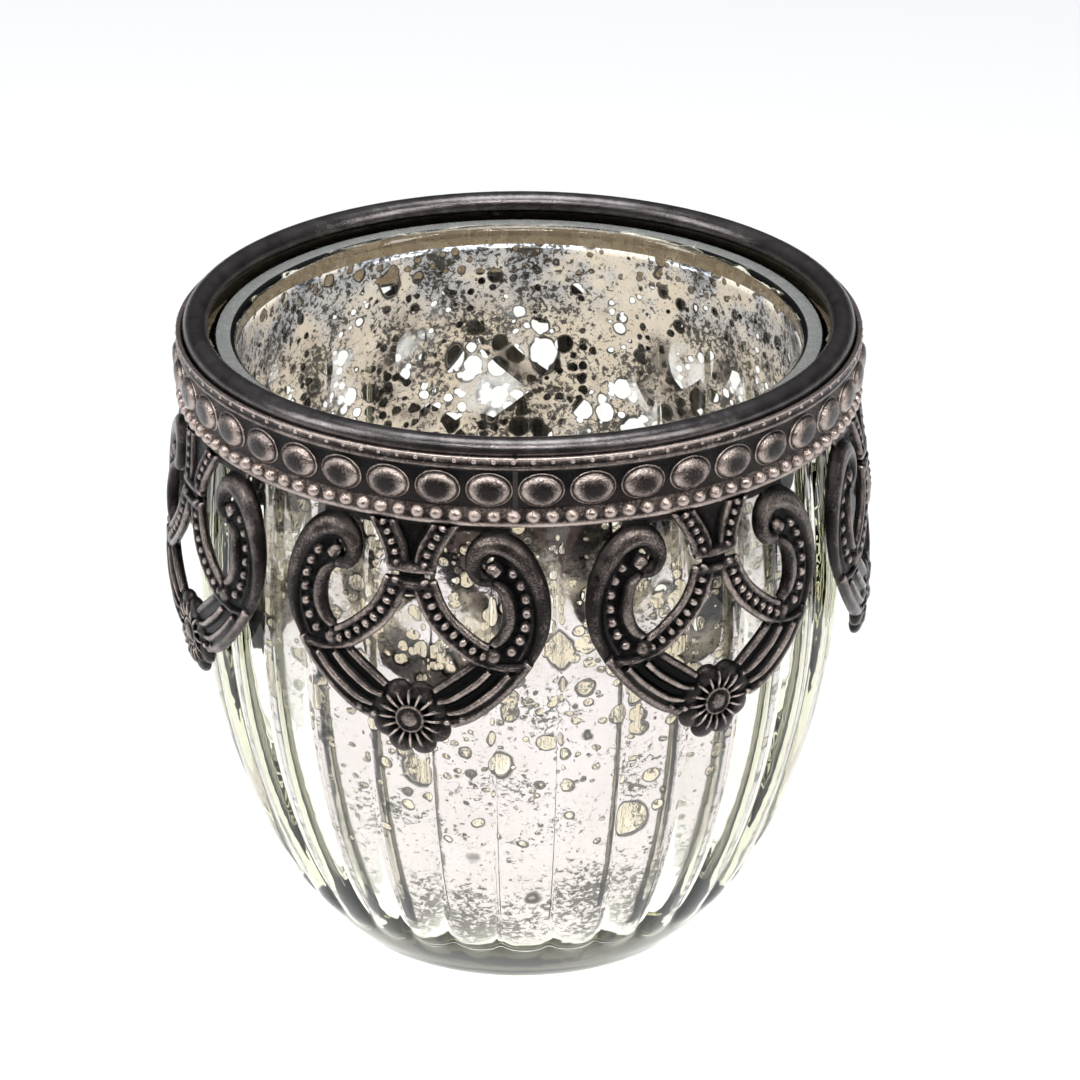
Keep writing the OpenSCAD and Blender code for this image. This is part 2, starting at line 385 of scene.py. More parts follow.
# The same bead repeated along a path.
def rowTree():
    tree, given = newTree("stampRow", {
        "Count": ("Int", 6),
        "Along": ("Float", 0.5),
        "Across": ("Float", 0.5),
        "Height": ("Float", 0.5),
        "Lift": ("Float", 0.3),
    })
    path = put(tree, "GeometryNodeMeshToCurve", Mesh=given["Geometry"])
    path = put(tree, "GeometryNodeResampleCurve", Curve=path, Count=given["Count"])
    tangent = put(tree, "ShaderNodeSeparateXYZ", Vector=put(tree, "GeometryNodeInputTangent"))
    turn = calc(tree, "ARCTAN2", tangent.outputs[1], tangent.outputs[0])
    ball = put(tree, "GeometryNodeMeshIcoSphere", Radius=1.0, Subdivisions=4)
    size = put(tree, "ShaderNodeCombineXYZ", X=given["Along"], Y=given["Across"], Z=given["Height"])
    lift = put(tree, "ShaderNodeCombineXYZ", Z=given["Lift"])
    stamp = put(tree, "GeometryNodeTransform", Geometry=ball, Scale=size, Translation=lift)
    turned = put(tree, "ShaderNodeCombineXYZ", Z=turn)
    row = put(tree, "GeometryNodeInstanceOnPoints", Points=path, Instance=stamp, Rotation=turned)
    return endTree(tree, given, row)


# Petals or spokes round a centre.
def flowerTree():
    tree, given = newTree("flowerRing", {
        "Count": ("Int", 8),
        "Phase": ("Float", 0.0),
        "Reach": ("Float", 2.5),
        "Length": ("Float", 1.0),
        "Width": ("Float", 0.8),
        "Height": ("Float", 0.5),
        "Lift": ("Float", 0.2),
        "Centre": ("Vector", (0, 0, 0)),
    })
    step = calc(tree, "DIVIDE", math.tau, given["Count"])
    turn = calc(tree, "ADD", put(tree, "GeometryNodeInputIndex"), given["Phase"])
    turn = calc(tree, "MULTIPLY", turn, step)
    reachX = calc(tree, "MULTIPLY", calc(tree, "COSINE", turn), given["Reach"])
    reachY = calc(tree, "MULTIPLY", calc(tree, "SINE", turn), given["Reach"])
    place = put(tree, "ShaderNodeCombineXYZ", X=reachX, Y=reachY, Z=given["Lift"])
    place = put(tree, "ShaderNodeVectorMath", {"operation": "ADD"}, n0=place, n1=given["Centre"])
    points = put(tree, "GeometryNodePoints", Count=given["Count"], Position=place)
    ball = put(tree, "GeometryNodeMeshIcoSphere", Radius=1.0, Subdivisions=4)
    size = put(tree, "ShaderNodeCombineXYZ", X=given["Length"], Y=given["Width"], Z=given["Height"])
    stamp = put(tree, "GeometryNodeTransform", Geometry=ball, Scale=size)
    turned = put(tree, "ShaderNodeCombineXYZ", Z=turn)
    ring = put(tree, "GeometryNodeInstanceOnPoints", Points=points, Instance=stamp, Rotation=turned)
    return endTree(tree, given, ring)


# A stamp repeated round the cup. It is drawn flat: x across, y up, z outwards.
def hoopTree():
    tree, given = newTree("stampHoop", {
        "Stamp": ("Object", None),
        "Count": ("Int", 42),
        "Phase": ("Float", 0.5),
        "Radius": ("Float", 35.0),
        "Level": ("Float", 60.0),
        "Lean": ("Float", 0.0),
        "Unevenness": ("Float", 0.05),
        "Seed": ("Int", 3),
    })
    step = calc(tree, "DIVIDE", math.tau, given["Count"])
    turn = calc(tree, "ADD", put(tree, "GeometryNodeInputIndex"), given["Phase"])
    turn = calc(tree, "MULTIPLY", turn, step)
    reachX = calc(tree, "MULTIPLY", calc(tree, "SINE", turn), given["Radius"])
    reachY = calc(tree, "MULTIPLY", calc(tree, "COSINE", turn), calc(tree, "MULTIPLY", given["Radius"], -1.0))
    place = put(tree, "ShaderNodeCombineXYZ", X=reachX, Y=reachY, Z=given["Level"])
    points = put(tree, "GeometryNodePoints", Count=given["Count"], Position=place)
    stamp = put(tree, "GeometryNodeObjectInfo", Object=given["Stamp"]).outputs["Geometry"]
    tilt = calc(tree, "ADD", given["Lean"], math.pi / 2)
    turned = put(tree, "ShaderNodeCombineXYZ", X=tilt, Z=turn)
    spread = put(tree, "FunctionNodeRandomValue", {"data_type": "FLOAT"}, Seed=given["Seed"])
    feed(tree, spread.inputs[2], calc(tree, "SUBTRACT", 1.0, given["Unevenness"]))
    feed(tree, spread.inputs[3], 1.0)
    hoop = put(tree, "GeometryNodeInstanceOnPoints", Points=points, Instance=stamp, Rotation=turned,
               Scale=spread.outputs[1])
    return endTree(tree, given, hoop)


# Flutes pressed into a round wall. The mesh says with "ribs" how deep each row takes them.
def fluteTree():
    tree, given = newTree("flutes", {
        "Count": ("Int", 30),
        "Phase": ("Float", 0.0),
        "Depth": ("Float", 0.7),
        "Roundness": ("Float", 0.9),
        "End": ("Float", 5.0),
        "Scallop": ("Float", 1.5),
        "Fade": ("Float", 1.1),
        "Step": ("Float", 0.3),
    })
    spot = put(tree, "GeometryNodeInputPosition")
    parts = put(tree, "ShaderNodeSeparateXYZ", Vector=spot)
    turn = calc(tree, "ARCTAN2", parts.outputs[0], calc(tree, "MULTIPLY", parts.outputs[1], -1.0))
    turn = calc(tree, "MULTIPLY", calc(tree, "SUBTRACT", turn, given["Phase"]),
                calc(tree, "DIVIDE", given["Count"], math.tau))
    across = calc(tree, "MULTIPLY_ADD", calc(tree, "FRACT", turn), 2.0, -1.0)
    square = calc(tree, "MULTIPLY", across, across)
    bend = calc(tree, "MULTIPLY", given["Roundness"], given["Roundness"])
    arch = calc(tree, "SUBTRACT", 1.0, calc(tree, "MULTIPLY", square, bend))
    arch = calc(tree, "SUBTRACT", 1.0, calc(tree, "SQRT", arch))
    whole = calc(tree, "SUBTRACT", 1.0, calc(tree, "SQRT", calc(tree, "SUBTRACT", 1.0, bend)))
    lobes = calc(tree, "MULTIPLY", calc(tree, "DIVIDE", arch, whole), given["Depth"])
    end = calc(tree, "MULTIPLY_ADD", square, given["Scallop"], given["End"])
    full = softStep(tree, parts.outputs[2], end, calc(tree, "ADD", end, given["Fade"]))
    push = calc(tree, "ADD", calc(tree, "MULTIPLY", lobes, full),
                calc(tree, "MULTIPLY", calc(tree, "SUBTRACT", 1.0, full), given["Step"]))
    ribs = put(tree, "GeometryNodeInputNamedAttribute", {"data_type": "FLOAT"}, Name="ribs")
    push = calc(tree, "MULTIPLY", push, ribs)
    flat = put(tree, "ShaderNodeCombineXYZ", X=parts.outputs[0], Y=parts.outputs[1])
    out = put(tree, "ShaderNodeVectorMath", {"operation": "NORMALIZE"}, n0=flat)
    shift = put(tree, "ShaderNodeVectorMath", {"operation": "SCALE"}, n0=out)
    feed(tree, shift.inputs["Scale"], calc(tree, "MULTIPLY", push, -1.0))
    moved = put(tree, "GeometryNodeSetPosition", Geometry=given["Geometry"], Offset=shift)
    return endTree(tree, given, moved)


lines, rows, flowers, hoops, flutes = lineTree(), rowTree(), flowerTree(), hoopTree(), fluteTree()
print("node trees built")


# Mesh helpers.

# A smooth path through a few points; each point's last number is the line's half width there.
def smoothPath(points, steps=8, closed=False):
    knots = [np.array(p, float) for p in points]
    if closed:
        knots = [knots[-1]] + knots + knots[:2]
    else:
        knots = [2 * knots[0] - knots[1]] + knots + [2 * knots[-1] - knots[-2]]
    path = []
    for a, b, c, d in zip(knots, knots[1:], knots[2:], knots[3:]):
        for t in np.arange(steps) / steps:
            path.append(0.5 * (2 * b + (c - a) * t + (2 * a - 5 * b + 4 * c - d) * t * t
                               + (3 * b - a - 3 * c + d) * t ** 3))
    if not closed:
        path.append(knots[-2])
    return path


# The same path moved sideways, to its left when positive.
def besidePath(path, shift):
    flat = np.array([p[:2] for p in path])
    run = np.gradient(flat, axis=0)
    run /= np.linalg.norm(run, axis=1)[:, None]
    side = np.stack([-run[:, 1], run[:, 0]], axis=1)
    return [np.array([*(f + s * shift), p[2]]) for f, s, p in zip(flat, side, path)]


def pathMesh(path, closed=False):
    mesh = bpy.data.meshes.new("path")
    count = len(path)
    edges = [(i, i + 1) for i in range(count - 1)] + ([(count - 1, 0)] if closed else [])
    mesh.from_pydata([(p[0], p[1], 0) for p in path], edges, [])
    width = mesh.attributes.new("width", "FLOAT", "POINT")
    width.data.foreach_set("value", [float(p[2]) for p in path])
    return mesh


def merged(meshes):
    work = bmesh.new()
    for mesh in meshes:
        work.from_mesh(mesh)
    whole = bpy.data.meshes.new("merged")
    work.to_mesh(whole)
    work.free()
    return whole


def mirrored(mesh):
    twin = mesh.copy()
    spots = np.empty(len(twin.vertices) * 3, np.float32)
    twin.vertices.foreach_get("co", spots)
    spots = spots.reshape(-1, 3) * (-1, 1, 1)
    twin.vertices.foreach_set("co", spots.ravel())
    twin.flip_normals()
    return twin


def spotsOf(mesh):
    found = np.empty(len(mesh.vertices) * 3, np.float32)
    mesh.vertices.foreach_get("co", found)
    return found.reshape(-1, 3).astype(float)


def moveTo(mesh, places):
    mesh.vertices.foreach_set("co", np.asarray(places, np.float32).ravel())
    mesh.update()


# A body of revolution. Rows are (radius, height) from pole to pole, or a closed ring of rows.
def turnedMesh(profile, steps, start=0.0, ring=False):
    turns = start + np.arange(steps) * math.tau / steps
    places, faces, rowStart = [], [], []
    for radius, level in profile:
        rowStart.append(len(places))
        if radius < 1e-6:
            places.append((0, 0, level))
        else:
            places += [(radius * math.sin(t), -radius * math.cos(t), level) for t in turns]
    pairs = list(zip(range(len(profile)), range(1, len(profile))))
    if ring:
        pairs.append((len(profile) - 1, 0))
    for low, high in pairs:
        a, b = rowStart[low], rowStart[high]
        for i in range(steps):
            j = (i + 1) % steps
            if profile[low][0] < 1e-6:
                faces.append((a, b + j, b + i))
            elif profile[high][0] < 1e-6:
                faces.append((a + i, a + j, b))
            else:
                faces.append((a + i, a + j, b + j, b + i))
    mesh = bpy.data.meshes.new("turned")
    mesh.from_pydata(places, [], faces)
    work = bmesh.new()
    work.from_mesh(mesh)
    bmesh.ops.recalc_face_normals(work, faces=work.faces)
    work.to_mesh(mesh)
    work.free()
    return mesh


# Crests come out above 0 and hollows below, from how far a point stands off its smoothed surface.
def markWear(mesh, rounds=10, scale=0.06, extra=0.0):
    places = spotsOf(mesh)
    ends = np.empty(len(mesh.edges) * 2, np.int32)
    mesh.edges.foreach_get("vertices", ends)
    a, b = ends.reshape(-1, 2).T
    count = len(places)
    degree = np.maximum(np.bincount(a, minlength=count) + np.bincount(b, minlength=count), 1)

    def averaged(values):
        total = np.bincount(a, values[b], count) + np.bincount(b, values[a], count)
        return total / degree

    soft = places.copy()
    for _ in range(rounds):
        soft = np.stack([averaged(soft[:, k]) for k in range(3)], axis=1)
    normals = np.empty(count * 3, np.float32)
    mesh.vertices.foreach_get("normal", normals)
    proud = ((places - soft) * normals.reshape(-1, 3)).sum(axis=1) / scale
    for _ in range(2):
        proud = averaged(proud)
    wear = mesh.attributes.new("wear", "FLOAT", "POINT")
    wear.data.foreach_set("value", np.clip(proud + extra, -1, 1.5).astype(np.float32))


# A finished piece: scaled to metres, smooth shaded, riding and standing for its CAD nodes.
def finish(name, mesh, material, slot, *nodes):
    moveTo(mesh, spotsOf(mesh) * mm)
    mesh.materials.clear()
    mesh.materials.append(material)
    mesh.polygons.foreach_set("use_smooth", [True] * len(mesh.polygons))
    mesh.polygons.foreach_set("material_index", [0] * len(mesh.polygons))
    piece = bpy.data.objects.new(name, mesh)
    bpy.context.scene.collection.objects.link(piece)
    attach(piece, "root")
    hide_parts(*nodes)
    print(f"{name}: {len(mesh.polygons)} faces")
    return piece


def bezier(a, b, c, d, steps):
    ts = np.linspace(0, 1, steps + 1)[:, None]
    a, b, c, d = (np.array(p, float) for p in (a, b, c, d))
    return (1 - ts) ** 3 * a + 3 * (1 - ts) ** 2 * ts * b + 3 * (1 - ts) * ts ** 2 * c + ts ** 3 * d


# Glass cup and its silver coat.

cup = {
    "baseRadius": 18.3,
    "bellyRadius": 33.9,
    "bellyHeight": 43.2,
    "lipRadius": 32.6,
    "mouthRadius": 29.6,
    "height": 66.2,
    "wall": 3.0,
    "floorHeight": 5.5,
    "floorRadius": 19.7,
    "flutes": 30,
    "phase": math.radians(1.1),
    "depth": 0.75,
    "insideDepth": 0.28,
    "roundness": 0.92,
    "fluteEnd": 3.8,
    "fluteScallop": 0.9,
    "fluteFade": 2.6,
    "heelStep": 0.3,
    "stepsPerFlute": 14,
    "groundDepth": 0.1,
    "coatTop": 64.3,
    "coatGap": 0.03,
    "coatThickness": 0.09,
}


def wallRows():
    low = bezier((cup["baseRadius"], 0), (cup["baseRadius"] + 5.6, 3.1),
                 (cup["bellyRadius"], cup["bellyHeight"] - 23.7),
                 (cup["bellyRadius"], cup["bellyHeight"]), 58)
    high = bezier((cup["bellyRadius"], cup["bellyHeight"]), (cup["bellyRadius"], cup["bellyHeight"] + 7),
                  (cup["lipRadius"] + 0.3, cup["height"] - 8), (cup["lipRadius"], cup["height"] - 1.2), 20)
    return np.vstack([low, high[1:]])


def boreRows():
    inner = cup["bellyRadius"] - cup["wall"]
    low = bezier((cup["floorRadius"], cup["floorHeight"]),
                 (cup["floorRadius"] + 4, cup["floorHeight"] + 3),
                 (inner, cup["bellyHeight"] - 18), (inner, cup["bellyHeight"]), 40)
    high = bezier((inner, cup["bellyHeight"]), (inner, cup["bellyHeight"] + 8),
                  (cup["mouthRadius"] + 0.5, cup["height"] - 8),
                  (cup["mouthRadius"], cup["height"] - 1.2), 24)
    return np.vstack([low, high[1:]])


# A rounded lip between the two walls, flat on top.
def lipRows():
    outer, inner, top = cup["lipRadius"], cup["mouthRadius"], cup["height"]
    bend = 1.2
    profile = [(outer - bend + bend * math.sin(t), top - bend + bend * math.cos(t))
             for t in np.linspace(math.pi / 2, 0, 7)[1:]]
    bend = 0.9
    profile += [(inner + bend - bend * math.sin(t), top - bend + bend * math.cos(t))
              for t in np.linspace(0, math.pi / 2, 6)]
    return profile


# How strongly each height takes the flutes: none on the base, the lip and the floor.
def ribsAt(level, inside):
    fade = np.clip((61.5 - level) / 6, 0, 1)
    rise = np.clip((level - 6.5) / 5, 0, 1) if inside else np.clip(level / 1.5, 0, 1)
    return fade * fade * (3 - 2 * fade) * rise


def markRibs(mesh, isInside):
    places = spotsOf(mesh)
    inside = isInside(places)
    ribs = np.where(inside, ribsAt(places[:, 2], True) * cup["insideDepth"] / cup["depth"],
                    ribsAt(places[:, 2], False))
    mesh.attributes.new("ribs", "FLOAT", "POINT").data.foreach_set("value", ribs.astype(np.float32))
    return places


def fluted(mesh):
    return grown(mesh, flutes, {
        "Count": cup["flutes"],
        "Phase": cup["phase"],
        "Depth": cup["depth"],
        "Roundness": cup["roundness"],
        "End": cup["fluteEnd"],
        "Scallop": cup["fluteScallop"],
        "Fade": cup["fluteFade"],
        "Step": cup["heelStep"],
        "Material": glassLook,
    })


def makeCup():
    wall, bore = wallRows(), boreRows()
    floor = [(r, cup["floorHeight"]) for r in (cup["floorRadius"] * 0.66, cup["floorRadius"] * 0.33, 0)]
    profile = [(0, 0), (cup["baseRadius"] * 0.5, 0)] + [tuple(p) for p in wall] + lipRows()
    profile += [tuple(p) for p in bore[::-1][1:]] + floor
    steps = cup["flutes"] * cup["stepsPerFlute"]
    mesh = turnedMesh(profile, steps, cup["phase"])
    middle = np.interp(np.arange(0, 70, 0.5), wall[:, 1], wall[:, 0]) - cup["wall"] * 0.5
    markRibs(mesh, lambda p: np.hypot(p[:, 0], p[:, 1]) < np.interp(p[:, 2], np.arange(0, 70, 0.5), middle))
    piece = finish("glassCup", fluted(mesh), glassLook, "glass", "glass_cup")
    piece.visible_shadow = False  # a lighting choice: light reaches the base and the floor
    piece.data.materials.append(lipLook)
    for face in piece.data.polygons:
        if face.center.z > (cup["height"] - cup["groundDepth"]) * mm:
            face.material_index = 1


def makeCoat():
    bore = boreRows()
    face = [(r - cup["coatGap"], z + cup["coatGap"]) for r, z in bore if z < cup["coatTop"]]
    floorLevel = face[0][1]
    back = [(r - cup["coatThickness"], z + cup["coatThickness"] * 0.5) for r, z in face]
    profile = [(0, floorLevel), (10, floorLevel)] + face + back[::-1]
    profile += [(10, back[0][1]), (0, back[0][1])]
    mesh = turnedMesh(profile, cup["flutes"] * cup["stepsPerFlute"], cup["phase"])
    mesh.attributes.new("inside", "FLOAT", "POINT")
    values = np.ones(len(mesh.vertices), np.float32)
    perRow = cup["flutes"] * cup["stepsPerFlute"]
    values[:1 + perRow * (len(face) + 1)] = 0
    mesh.attributes["inside"].data.foreach_set("value", values)
    markRibs(mesh, lambda p: np.ones(len(p), bool))
    piece = finish("silverCoat", fluted(mesh), silverLook, "silvering", "silvering")
    piece.visible_shadow = False  # a lighting choice: it keeps the foot and the floor light


makeCup()
makeCoat()


# Rim ring.

rim = {
    "radius": 33.95,
    "bead": 1.3,
    "height": 67.2,
    "skirtInner": 34.0,
    "skirtOuter": 34.6,
    "skirtFoot": 59.3,
    "around": 480,
    "wobble": 0.06,
}


# Hand-worked unevenness, kept inside the true outline.
def uneven(mesh, amount, size):
    places = spotsOf(mesh)
    centre = np.hypot(places[:, 0], places[:, 1])
    shift = np.array([noise.noise(Vector(p) / size) for p in places])
    scale = 1 - amount * (0.5 + 0.5 * shift) / centre
    places[:, 0] *= scale
    places[:, 1] *= scale
    moveTo(mesh, places)


def makeRim():
    start, end = math.radians(205), math.radians(-62)
    profile = [(rim["radius"] + (rim["bead"]) * math.cos(t), rim["height"] + rim["bead"] * math.sin(t))
             for t in np.linspace(end, start, 22)]
    profile += [(rim["skirtInner"], rim["height"] - 1.6)]
    profile += [(rim["skirtInner"], z) for z in np.linspace(65, rim["skirtFoot"] + 0.1, 5)]
    profile += [(rim["skirtInner"] + 0.15, rim["skirtFoot"]), (rim["skirtOuter"] - 0.15, rim["skirtFoot"])]
    profile += [(rim["skirtOuter"], z) for z in np.linspace(rim["skirtFoot"] + 0.1, 65.6, 5)]
    mesh = turnedMesh(profile, rim["around"], ring=True)
    uneven(mesh, rim["wobble"], 9.0)
    markWear(mesh, 14, 0.12)
    finish("rimRing", mesh, rimMetal, "rim_metal", "rim_ring")


makeRim()


# Collar band.

band = {
    "foot": 59.1,
    "height": 7.9,
    "innerRadius": 34.65,
    "thickness": 0.5,
    "lean": 0.75,
    "ovals": 42,
    "ovalLevel": 4.25,
    "ovalHalfWidth": 2.42,
    "ovalHalfHeight": 1.95,
    "ovalRise": 0.78,
    "pearls": 112,
    "pearlLevel": 1.35,
    "pearlRadius": 0.82,
    "dots": 112,
    "dotLevel": 7.45,
    "dotRadius": 0.3,
}
bandLean = math.atan(band["lean"] / band["height"])


def bandFace(level):
    return band["innerRadius"] + band["thickness"] + band["lean"] * level / band["height"]


# An oval boss: a low outer step, a steep shoulder and a rubbed, slightly dished top.
def ovalStamp():
    profile = [(1.0, -0.35), (1.0, -0.08), (0.97, -0.03), (0.93, -0.02), (0.9, -0.02), (0.88, 0.12),
               (0.84, 0.36), (0.77, 0.56), (0.69, 0.73), (0.58, 0.86), (0.45, 0.94), (0.31, 0.985),
               (0.16, 1.0), (0.0, 1.0)]
    around = 28
    places, faces = [], []
    for reach, rise in profile[:-1]:
        for i in range(around):
            t = i * math.tau / around
            places.append((band["ovalHalfWidth"] * reach * math.cos(t),
                           band["ovalHalfHeight"] * reach * math.sin(t), band["ovalRise"] * rise))
    places.append((0, 0, band["ovalRise"] * profile[-1][1]))
    for row in range(len(profile) - 2):
        for i in range(around):
            j = (i + 1) % around
            faces.append((row * around + i, row * around + j, (row + 1) * around + j, (row + 1) * around + i))
    last = (len(profile) - 2) * around
    faces += [(last + i, last + (i + 1) % around, len(places) - 1) for i in range(around)]
    faces.append(tuple(range(around - 1, -1, -1)))
    mesh = bpy.data.meshes.new("oval")
    mesh.from_pydata(places, [], faces)
    return mesh


def ballStamp(radius, rise, around=12, rings=6):
    work = bmesh.new()
    bmesh.ops.create_uvsphere(work, u_segments=around, v_segments=rings, radius=radius)
    for vert in work.verts:
        vert.co.z *= rise / radius
    mesh = bpy.data.meshes.new("ball")
    work.to_mesh(mesh)
    work.free()
    return mesh


def hoopOf(mesh, count, level, phase, unevenness, seed):
    stamp = bpy.data.objects.new("stamp", mesh)
    bpy.context.scene.collection.objects.link(stamp)
    empty = bpy.data.meshes.new("hoop")
    made = grown(empty, hoops, {
        "Stamp": stamp,
        "Count": count,
        "Phase": phase,
        "Radius": bandFace(level),
        "Level": band["foot"] + level,
        "Lean": bandLean,
        "Unevenness": unevenness,
        "Seed": seed,
        "Material": collarMetal,
    })
    bpy.data.objects.remove(stamp)
    return made


def sleeveRows():
    outline = [(0.02, 0.0), (0.12, 0.06), (0.35, 0.1), (0.6, 0.06), (0.75, 0.0), (1.4, 0.0),
               (2.1, 0.0), (2.25, -0.04), (2.5, -0.06), (4.25, -0.08), (6.2, -0.06), (6.45, 0.0),
               (6.55, 0.1), (6.75, 0.14), (6.95, 0.1), (7.05, 0.02), (7.5, 0.0), (7.75, 0.04),
               (7.84, 0.02)]
    profile = [(bandFace(level) + push, band["foot"] + level) for level, push in outline]
    profile.append((bandFace(7.9) - 0.1, band["foot"] + 7.9))
    profile.append((bandFace(7.9) - band["thickness"] + 0.1, band["foot"] + 7.9))
    profile += [(bandFace(level) - band["thickness"], band["foot"] + level)
                for level in (7.8, 5.5, 3, 1, 0.1)]
    profile.append((bandFace(0) - band["thickness"] + 0.1, band["foot"]))
    profile.append((bandFace(0) - 0.1, band["foot"]))
    return profile


def makeBand():
    sleeve = turnedMesh(sleeveRows(), 504, ring=True)
    ovals = hoopOf(ovalStamp(), band["ovals"], band["ovalLevel"], 0.5, 0.03, 5)
    pearls = hoopOf(ballStamp(band["pearlRadius"], band["pearlRadius"]), band["pearls"],
                    band["pearlLevel"], 0.25, 0.08, 8)
    dots = hoopOf(ballStamp(band["dotRadius"], band["dotRadius"] * 0.6, 10, 5), band["dots"],
                  band["dotLevel"], 0.25, 0.2, 11)
    mesh = merged([sleeve, ovals, pearls, dots])
    order = np.arange(len(mesh.vertices))
    onSleeve = order < len(sleeve.vertices)
    onOval = order < len(sleeve.vertices) + len(ovals.vertices)
    ground = np.select([onSleeve, onOval], [0.6, -0.05], 0.0)
    markWear(mesh, 4, 0.08, ground)
    finish("collarBand", mesh, collarMetal, "collar_metal", "collar_band")


makeBand()


# Pendants.
# Drawn flat in millimetres: x to one side of the middle, y up from the band's lower edge,
# z outwards from the sheet. Only one half is drawn, and the other is its mirror image.

drop = {
    "top": 59.1,
    "maxRadius": 37.5,
    "maxHeight": 44.1,
    "bulge": 71.0,
    "relief": 1.1,
    "sheet": 0.35,
    "voxel": 0.13,
    "rubbedAbove": 0.62,
    "count": 7,
    "rosette": (0, -21.4, 0),
    "lineSides": 14,
    "rollGroove": 1.15,
    "rollGrooveWidth": 0.2,
    "rollGrooveSteps": 70,
    "beadAlong": 0.46,
    "beadShare": 0.66,
    "beadHeight": 0.55,
    "beadLift": 0.38,
}
rollLine = [(12.3, -14.5, 0.5), (13.4, -12.0, 0.7), (13.75, -9.5, 0.85), (13.5, -7.2, 1.0),
            (12.65, -4.9, 1.15), (11.3, -2.9, 1.3), (9.6, -1.8, 1.35), (7.9, -1.85, 1.25),
            (6.8, -2.9, 1.1), (6.6, -4.3, 0.95), (7.3, -5.35, 0.85), (8.5, -5.55, 0.75)]
innerLine = [(8.7, -5.8, 0.45), (9.8, -6.8, 0.7), (10.3, -8.4, 0.8), (10.25, -10.1, 0.8),
             (9.6, -11.6, 0.7), (8.6, -12.5, 0.55)]
beadLine = [(10.7, -4.7, 0.5), (11.55, -6.1, 0.5), (12.0, -7.6, 0.5), (12.05, -9.1, 0.5),
            (11.85, -10.6, 0.5), (11.3, -12.0, 0.5), (10.5, -13.1, 0.5)]
channelSheet = [(11.4, -13.8, 1.7), (12.1, -11.6, 2.0), (12.3, -9.0, 2.2), (11.8, -6.3, 2.5),
                (10.4, -4.2, 2.4), (8.6, -3.5, 2.3)]
jointSheet = [(11.8, -14.1, 1.6), (10.6, -14.3, 2.1), (9.2, -14.4, 2.2), (7.9, -14.1, 1.4)]
armLine = [(1.5, -6.2, 0.45), (1.9, -7.3, 0.45), (2.4, -8.5, 0.45), (3.4, -10.1, 0.45), (4.8, -11.5, 0.45),
           (6.4, -12.8, 0.45), (7.7, -13.6, 0.45)]
cordLine = [(3.9, 0.6, 0.45), (3.1, -0.6, 0.45), (2.4, -1.8, 0.45), (1.8, -3.0, 0.45), (1.5, -4.3, 0.45)]
barSheet = [(9.6, -14.4, 2.6), (7.6, -16.7, 2.5), (5.4, -18.6, 2.4), (3.0, -20.2, 2.0)]
outerRim = [(12.3, -14.4, 0.6), (10.6, -16.7, 0.62), (8.4, -19.0, 0.62), (6.3, -20.7, 0.6), (4.3, -21.7, 0.5)]
reeds = [
    [(10.3, -15.6, 0.45), (8.9, -17.3, 0.5), (7.2, -18.8, 0.5), (5.6, -19.9, 0.45), (4.0, -20.4, 0.35)],
    [(8.3, -15.3, 0.42), (7.0, -16.7, 0.46), (5.5, -17.9, 0.46), (4.2, -18.8, 0.4), (3.0, -19.2, 0.35)],
]
kiteRim = [(6.7, -14.7, 0.46), (5.1, -16.0, 0.48), (3.7, -17.1, 0.48), (2.6, -18.0, 0.45)]
capLine = [(11.5, -14.9, 0.42), (9.8, -15.0, 0.42), (8.0, -14.6, 0.42), (6.9, -14.3, 0.36)]


def relief(path, steep=1.0, lift=0.0, high=5.0, closed=False):
    return grown(pathMesh(path, closed), lines, {
        "Sides": drop["lineSides"],
        "Steepness": steep,
        "Lift": lift,
        "Low": -drop["sheet"],
        "High": high,
    })


# A flat ribbon of sheet as wide as the path says.
def ribbon(points):
    return relief(smoothPath(points), steep=10.0, high=drop["sheet"])


def stamps(path, count, along, across, height, lift):
    return grown(pathMesh(path), rows, {
        "Count": count, "Along": along, "Across": across, "Height": height, "Lift": lift,
    })


def flower(count, phase, reach, length, width, height, lift):
    return grown(bpy.data.meshes.new("flower"), flowers, {
        "Count": count, "Phase": phase, "Reach": reach, "Length": length, "Width": width,
        "Height": height, "Lift": lift, "Centre": drop["rosette"],
    })


# A thick cord: a row of beads between two low rails.
def beadedCord(points, half, beads):
    path = smoothPath(points)
    return [
        relief(besidePath(path, half), steep=0.95, lift=0.35),
        relief(besidePath(path, -half), steep=0.95, lift=0.35),
        stamps(path, beads, drop["beadAlong"], half * drop["beadShare"],
               drop["beadHeight"], drop["beadLift"]),
        ribbon([(p[0], p[1], half) for p in points]),
    ]


